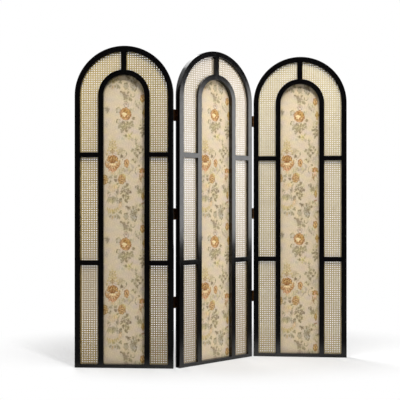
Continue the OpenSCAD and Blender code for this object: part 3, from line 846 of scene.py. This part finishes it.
def fabric_mesh(canvas, cut):
    radius = INNER_IN + SHEET_E
    z0 = BASE_RAIL_H - SHEET_E
    cols = int(ceil(2 * radius / SHEET_STEP))
    rows = int(ceil((SPRING_Z + radius - z0) / SHEET_STEP))
    gx = np.linspace(-radius, radius, cols + 1)
    gz = np.linspace(z0, SPRING_Z + radius, rows + 1)
    x, z = np.meshgrid(gx, gz)
    r = np.where(z > SPRING_Z, np.hypot(x, z - SPRING_Z), np.abs(x))
    near = (z > SPRING_Z) & (np.abs(r - radius) < 0.8 * SHEET_STEP)
    scale = np.where(near, radius / np.maximum(r, 1e-6), 1.0)
    x, z = x * scale, np.where(near, SPRING_Z + (z - SPRING_Z) * scale, z)
    inside = (r < radius + 1e-6) | near
    number = np.arange(inside.size).reshape(inside.shape)
    corner = number[:-1, :-1], number[:-1, 1:], number[1:, 1:], number[1:, :-1]
    ok = [inside.ravel()[q] for q in corner]
    full = np.all(ok, axis=0)
    quads = np.stack([q[full] for q in corner], 1)
    tris = []
    for k in range(4):
        three = ~ok[k] & ok[(k + 1) % 4] & ok[(k + 2) % 4] & ok[(k + 3) % 4]
        tris.append(np.stack([corner[(k + m) % 4][three] for m in (1, 2, 3)], 1))
    tris = np.concatenate(tris)
    x, z = x.ravel(), z.ravel()
    (x0, x1, x2), (z0, z1, z2) = x[tris].T, z[tris].T
    area = 0.5 * np.abs((x1 - x0) * (z2 - z0) - (x2 - x0) * (z1 - z0))
    tris = tris[area > SLIVER]
    used = np.unique(np.concatenate([quads.ravel(), tris.ravel()]))
    remap = np.full(inside.size, -1)
    remap[used] = np.arange(len(used))
    x, z = x[used], z[used]
    quads, tris = remap[quads], remap[tris]
    colour, lift = sample(canvas, x, z, cut)
    r = np.where(z > SPRING_Z, np.hypot(x, z - SPRING_Z), np.abs(x))
    open_part = np.clip((INNER_IN - r) / LIFT_FADE, 0, 1) * np.clip((z - BASE_RAIL_H) / LIFT_FADE, 0, 1)
    # the cloth is a little uneven
    swell = 0.12 * np.sin(x / 31 + 0.4) * np.sin(z / 87 + 1.1) + 0.1 * np.sin(x / 17 + z / 140)
    y = FABRIC_DEPTH - open_part * (FIGURE_LIFT * lift + CLOTH_LIFT + swell)
    return np.stack([x, y, z], 1), quads, tris, colour


def fabric_piece(panel, canvas, material):
    verts, quads, tris, colour = fabric_mesh(canvas, CUTS[panel])
    name = panel + "_fabric_sheet"
    piece = new_piece(name, panel, verts, [quads, tris], material, ["fabric"])
    opaque = np.ones((len(colour), 1))
    set_attribute(piece, "design", np.concatenate([linear(colour), opaque], 1))
    set_attribute(piece, "cloth", verts[:, [0, 2, 1]] * [1, 1, 0] / 1000)
    # give the cloth its thickness: the edge is drawn back and closed behind
    bm = bmesh.new()
    bm.from_mesh(piece.data)
    edges = [e for e in bm.edges if len(e.link_faces) == 1]
    out = bmesh.ops.extrude_edge_only(bm, edges=edges)["geom"]
    c, s = way(ANGLES[panel])
    back = Vector((-s, c, 0)) * SHEET_T / 1000
    bmesh.ops.translate(bm, vec=back, verts=[g for g in out if isinstance(g, bmesh.types.BMVert)])
    rim = [e for e in bm.edges if len(e.link_faces) == 1]
    bmesh.ops.contextual_create(bm, geom=rim)
    bmesh.ops.triangulate(bm, faces=[f for f in bm.faces if len(f.verts) > 4])
    bmesh.ops.recalc_face_normals(bm, faces=bm.faces)
    bm.to_mesh(piece.data)
    bm.free()


def srgb(r, g, b):
    return (*linear(np.array([r, g, b], float)), 1.0)


def grey(value):
    return (value, value, value, 1.0)


WHITE = grey(1.0)


class Graph:
    """Short names for the few shader nodes that the materials and the world use."""

    def __init__(self, tree):
        self.tree = tree

    def feed(self, socket, value):
        if isinstance(value, bpy.types.NodeSocket):
            self.tree.links.new(value, socket)
        else:
            socket.default_value = value

    def add(self, kind, inputs=None, **settings):
        node = self.tree.nodes.new("ShaderNode" + kind)
        for key, value in settings.items():
            setattr(node, key, value)
        for key, value in (inputs or {}).items():
            self.feed(node.inputs[key], value)
        return node

    def remap(self, value, a0, a1, b0=0.0, b1=1.0, **settings):
        ends = {"Value": value, "From Min": a0, "From Max": a1, "To Min": b0, "To Max": b1}
        return self.add("MapRange", ends, **settings).outputs["Result"]

    def maths(self, how, a, b):
        return self.add("Math", {0: a, 1: b}, operation=how).outputs[0]

    def mix(self, fac, a, b, how="MIX"):
        return self.add("Mix", {0: fac, 6: a, 7: b}, data_type="RGBA", blend_type=how).outputs[2]

    def emission(self, strength):
        return self.add("Emission", {"Color": WHITE, "Strength": strength}).outputs[0]


class Nodes(Graph):
    """The graph of one new material."""

    def __init__(self, name):
        self.material = bpy.data.materials.new(name)
        self.material.use_nodes = True
        super().__init__(self.material.node_tree)
        self.shader = self.tree.nodes["Principled BSDF"]

    def place(self):
        return self.add("TexCoord").outputs["Object"]

    def noise(self, vector, scale, detail=3.0, rough=0.5):
        inputs = {"Vector": vector, "Scale": scale, "Detail": detail, "Roughness": rough}
        return self.add("TexNoise", inputs).outputs["Fac"]

    def scaled(self, vector, scale):
        return self.add("Mapping", {"Vector": vector, "Scale": scale}).outputs["Vector"]

    def distance(self, vector, scale):
        node = self.add("VectorMath", {0: self.scaled(vector, scale)}, operation="LENGTH")
        return node.outputs["Value"]

    def blend(self, value, low, high, amount, a, b, how="MIX"):
        """Colour a, with up to this amount of b where value goes from low to high."""
        return self.mix(self.remap(value, low, high, 0.0, amount), a, b, how)

    def bump(self, height, distance, normal=None):
        inputs = {"Height": height, "Distance": distance, "Strength": 1.0}
        if normal is not None:
            inputs["Normal"] = normal
        return self.add("Bump", inputs).outputs["Normal"]

    def attribute(self, name, output):
        return self.add("Attribute", attribute_name=name).outputs[output]

    def set(self, **inputs):
        for key, value in inputs.items():
            self.feed(self.shader.inputs[key.replace("_", " ")], value)


def lacquer(name, gloss):
    n = Nodes(name)
    place = n.place()
    wide = n.noise(place, 11, 2)
    peel = n.noise(place, 260, 2)
    scuff = n.noise(place, 34, 6, 0.7)
    tone = n.blend(n.noise(place, 6), 0.35, 0.7, 1, srgb(6, 5, 6), srgb(10, 9, 9))
    n.set(Base_Color=n.blend(scuff, 0.62, 0.78, 0.5, tone, srgb(18, 14, 12)),
          Roughness=n.remap(scuff, 0.3, 0.75, gloss, gloss + 0.1),
          Normal=n.bump(peel, 0.000006, n.bump(wide, 0.00012)))
    return n.material


# The cane's painted light and shade in each panel: a tint, and its strength at the left and the right of
# the panel. The painted tint is golden on the left panel and paler on the others, as painted light and
# reflection from the lamp at the right. The left panel is painted darker towards its right and the middle
# one lighter towards its right, and each is painted paler towards the top, as light from above.
CANE_PAINTED_LIGHT = {"left": ((1.03, 1.02, 0.98), 1.02, 0.78), "middle": ((1.00, 1.03, 1.27), 0.94, 1.10),
              "right": ((1.10, 1.14, 1.29), 0.99, 1.01)}
# painted shade near the floor and painted light near the top, as heights in m and multipliers
CANE_SHADE_LOW, CANE_LIGHT_HIGH = (0.2, (0.80, 0.76, 0.68, 1.0)), (1.6, (1.12, 1.16, 1.30, 1.0))
CANE_LIGHT_REACH = 0.15


def cane_material(panel):
    tone, left, right = CANE_PAINTED_LIGHT[panel]

    # straw colours with the panel's tint of painted light and reflection
    def with_painted_light(*colour):
        return srgb(*(c * t for c, t in zip(colour, tone)))

    n = Nodes(panel + "_cane")
    fibre = n.attribute("fibre", "Vector")
    tint = n.add("SeparateXYZ", {0: fibre}).outputs["Z"]
    streak = n.noise(n.scaled(fibre, (0.1, 3, 40)), 1, 4, 0.6)
    blotch = n.noise(n.place(), 9)
    node = n.noise(n.scaled(fibre, (0.012, 0.2, 90)), 1, 2)
    straw = n.mix(tint, with_painted_light(190, 165, 102), with_painted_light(218, 196, 134))
    straw = n.blend(streak, 0.35, 0.7, 0.7, straw, with_painted_light(154, 126, 74))
    straw = n.blend(node, 0.58, 0.75, 0.55, straw, with_painted_light(130, 98, 54))
    straw = n.blend(blotch, 0.4, 0.7, 0.35, straw, with_painted_light(200, 178, 130))
    place = n.add("SeparateXYZ", {0: n.place()}).outputs
    (low, painted_shade_below), (high, painted_light_above) = CANE_SHADE_LOW, CANE_LIGHT_HIGH
    # painted shade towards the bottom and painted light towards the top of the panel
    straw = n.mix(1, straw, n.mix(n.remap(place["Z"], low, high), painted_shade_below, painted_light_above), "MULTIPLY")
    # painted light and shade that changes from the left to the right of the panel
    middle = PLACES[panel][0] / 1000
    across = n.remap(place["X"], middle - CANE_LIGHT_REACH, middle + CANE_LIGHT_REACH)
    straw = n.mix(1, straw, n.mix(across, grey(left), grey(right)), "MULTIPLY")
    n.set(Base_Color=straw, Roughness=n.remap(streak, 0.3, 0.7, 0.26, 0.4),
          Normal=n.bump(streak, 0.00005), Specular_IOR_Level=1, Coat_Weight=1, Coat_Roughness=0.16)
    return n.material


def fabric_material():
    n = Nodes("floral_fabric")
    cloth = n.attribute("cloth", "Vector")
    design = n.attribute("design", "Color")

    def threads(scale, direction):
        inputs = {"Vector": cloth, "Scale": scale, "Distortion": 0.6, "Detail": 1, "Detail Scale": 2}
        return n.add("TexWave", inputs, bands_direction=direction).outputs["Fac"]

    weave = n.maths("MULTIPLY", threads(260, "X"), threads(230, "Y"))
    slub = n.noise(n.scaled(cloth, (60, 1400, 1)), 1, 2)
    mottle = n.noise(cloth, 14, 4)
    colour = n.blend(weave, 0, 0.8, 0.22, design, (0.62, 0.56, 0.46, 1), "MULTIPLY")
    colour = n.blend(slub, 0.45, 0.75, 0.2, colour, (0.78, 0.7, 0.58, 1), "MULTIPLY")
    colour = n.blend(mottle, 0.4, 0.7, 0.14, colour, (1, 0.93, 0.8, 1), "MULTIPLY")
    n.set(Base_Color=colour, Roughness=n.remap(weave, 0, 1, 0.62, 0.8),
          Normal=n.bump(weave, 0.0002, n.bump(mottle, 0.0004)),
          Sheen_Weight=0.12, Sheen_Roughness=0.4, Specular_IOR_Level=0.35)
    return n.material


def brass_material(name, dark, pale):
    n = Nodes(name)
    place = n.place()
    patina = n.noise(place, 90, 5, 0.65)
    scratch = n.noise(n.scaled(place, (400, 400, 60)), 1)
    n.set(Base_Color=n.blend(patina, 0.35, 0.7, 1, dark, pale), Metallic=1,
          Roughness=n.remap(patina, 0.3, 0.7, 0.52, 0.34), Normal=n.bump(scratch, 0.00003))
    return n.material


def board_material():
    n = Nodes("stained_board")
    place = n.place()
    grain = n.noise(n.scaled(place, (160, 160, 5)), 1, 5, 0.6)
    pores = n.noise(n.scaled(place, (1200, 1200, 40)), 1, 2)
    colour = n.blend(grain, 0.3, 0.7, 1, srgb(58, 40, 28), srgb(84, 60, 42))
    colour = n.blend(pores, 0.6, 0.75, 0.7, colour, srgb(34, 24, 18))
    n.set(Base_Color=colour, Roughness=n.remap(grain, 0.3, 0.7, 0.55, 0.7), Normal=n.bump(pores, 0.00012))
    return n.material


gloss_black = lacquer("black_lacquer", 0.10)
satin_black = lacquer("black_lacquer_satin", 0.32)
fabric = fabric_material()
board = board_material()
hinge_brass = brass_material("hinge_brass", srgb(70, 44, 26), srgb(132, 92, 54))
screw_brass = brass_material("screw_brass", srgb(92, 64, 38), srgb(160, 120, 74))

FRAME_NODES = ["arch", "stile_l", "stile_r", "base_rail", "inner_arch", "inner_stile_l", "inner_stile_r",
               "crown_bar", "cross_rails"]
frame_parts = frame_mesh()
design = age_design(draw_design())
for number, panel in enumerate(PANELS):
    verts, polys, normals = frame_parts
    new_piece(panel + "_frame", panel, verts, polys, gloss_black, FRAME_NODES, normals)
    cane = cane_material(panel)
    for k, kind in enumerate(("upper", "middle", "lower")):
        verts, polys, fibre = weave_bay(kind, 100 + 10 * number + k)
        woven = new_piece(f"{panel}_woven_cane_{kind}", panel, verts, polys, cane, ["cane_" + kind],
                          crease=strand_sides)
        set_attribute(woven, "fibre", fibre)
    fabric_piece(panel, design, fabric)


def dress(node, material):
    data = frame["nodes"][node].data
    data.materials.clear()
    data.materials.append(material)


for panel in PANELS:
    dress(panel + "_cane_beads", satin_black)
    dress(panel + "_fabric_bead", satin_black)
    dress(panel + "_board", board)
for name in frame["nodes"]:
    if "hinge" in name:
        dress(name, screw_brass if "screws" in name else hinge_brass)


# The floor is grey, and the lacquer mirrors it pale close by and dark further off. To the
# camera it glows a little, and fades into white. Lengths are in m, with a scale for x and y.
FLOOR_R = 14.0
FLOOR_PAINT = 0.70
FLOOR_MIRRORED = (0.90, 0.08)
MIRROR_FADE = (0.35, 0.9)
MIRROR_SCALE = (0.8, 1.7, 0.0)
FLOOR_LIFT = 0.15
WHITE_FADE = (0.75, 1.35)
WHITE_SCALE = (0.8, 1.2, 0.0)
WHITE_SHIFT = (0.0, -0.45, 0.0)
# The world's light, and its strength in reflections: behind the camera and beyond the screen,
# blended between these two values of the direction's y.
AMBIENT = 0.09
MIRRORED_SIDES = (0.016, 0.8)
SIDE_FADE = (-0.15, 0.5)
# Each lamp: name, place, aim, width and height in m, power in W, and whether reflections show it.
LAMPS = [
    ("key", (0.22, -1.40, 4.0), (0.0, -0.15, 0.7), (3.0, 2.0), 95.0, True),
    ("side", (1.1, -3.1, 4.4), (0.0, 0.0, 0.8), (0.5, 0.5), 96.0, False),
    ("rim", (-1.15, 2.3, 3.3), (-0.2, 0.1, 1.6), (1.7, 1.3), 20.0, True),
    ("rear", (-1.5, 2.9, 3.6), (0.0, 0.0, 0.4), (1.4, 1.2), 120.0, False),
    ("right_box", (3.05, -0.54, 1.32), (0.0, 0.0, 1.13), (1.05, 1.48), 24.5, True),
]
CAMERA_AT = (-0.08955, -4.67647, 0.91899)
SENSOR, LENS, SHIFT_UP = 36.0, 71.16, 0.0156


def stage_floor():
    bm = bmesh.new()
    bmesh.ops.create_circle(bm, cap_ends=True, radius=FLOOR_R, segments=96)
    mesh = bpy.data.meshes.new("floor")
    bm.to_mesh(mesh)
    bm.free()
    ground = bpy.data.objects.new("floor", mesh)
    bpy.context.scene.collection.objects.link(ground)
    n = Nodes("floor_paint")
    path = n.add("LightPath").outputs
    place = n.place()
    away = n.remap(n.distance(place, MIRROR_SCALE), *MIRROR_FADE)
    mirrored = n.mix(away, *map(grey, FLOOR_MIRRORED))
    paint = n.mix(path["Is Glossy Ray"], grey(FLOOR_PAINT), mirrored)
    n.set(Base_Color=paint, Roughness=0.9, Specular_IOR_Level=0.1)
    behind = n.add("VectorMath", {0: place, 1: WHITE_SHIFT}, operation="ADD").outputs["Vector"]
    far = n.remap(n.distance(behind, WHITE_SCALE), *WHITE_FADE, interpolation_type="SMOOTHSTEP")
    shaded = n.shader.outputs[0]
    near = n.add("AddShader", {0: shaded, 1: n.emission(FLOOR_LIFT)}).outputs[0]
    seen = n.add("MixShader", {0: far, 1: near, 2: n.emission(1.0)}).outputs[0]
    both = n.add("MixShader", {0: path["Is Camera Ray"], 1: shaded, 2: seen}).outputs[0]
    n.feed(n.tree.nodes["Material Output"].inputs["Surface"], both)
    mesh.materials.append(n.material)


def studio_world():
    world = bpy.data.worlds.new("studio")
    bpy.context.scene.world = world
    world.use_nodes = True
    g = Graph(world.node_tree)
    path = g.add("LightPath").outputs
    way_out = g.add("SeparateXYZ", {0: g.add("TexCoord").outputs["Generated"]}).outputs["Y"]
    side = g.remap(way_out, *SIDE_FADE, *MIRRORED_SIDES, interpolation_type="SMOOTHSTEP")
    ambient = g.tree.nodes["Background"]
    g.feed(ambient.inputs["Color"], WHITE)
    g.feed(ambient.inputs["Strength"], AMBIENT)
    mirrored_light = g.add("Background", {"Color": WHITE, "Strength": side}).outputs[0]
    white = g.add("Background", {"Color": WHITE}).outputs[0]
    glossy = g.add("MixShader", {0: path["Is Glossy Ray"], 1: ambient.outputs[0], 2: mirrored_light})
    sees_background = g.maths("MAXIMUM", path["Is Camera Ray"], path["Is Transmission Ray"])
    shown = g.add("MixShader", {0: sees_background, 1: glossy.outputs[0], 2: white}).outputs[0]
    g.feed(g.tree.nodes["World Output"].inputs["Surface"], shown)


def lamp(name, at, aim, size, power, glossy):
    data = bpy.data.lights.new(name, "AREA")
    data.shape = "RECTANGLE"
    data.size, data.size_y = size
    data.energy = power
    obj = bpy.data.objects.new(name, data)
    bpy.context.scene.collection.objects.link(obj)
    obj.location = at
    obj.rotation_euler = (Vector(aim) - Vector(at)).to_track_quat("-Z", "Y").to_euler()
    obj.visible_camera = False
    obj.visible_glossy = glossy


stage_floor()
studio_world()
for values in LAMPS:
    lamp(*values)

camera_data = bpy.data.cameras.new("camera")
camera_data.sensor_width = SENSOR
camera_data.lens = LENS
camera_data.shift_y = SHIFT_UP
camera = bpy.data.objects.new("camera", camera_data)
bpy.context.scene.collection.objects.link(camera)
camera.location = CAMERA_AT
camera.rotation_euler = (pi / 2, 0.0, 0.0)
bpy.context.scene.camera = camera
bpy.context.scene.view_settings.view_transform = "Standard"
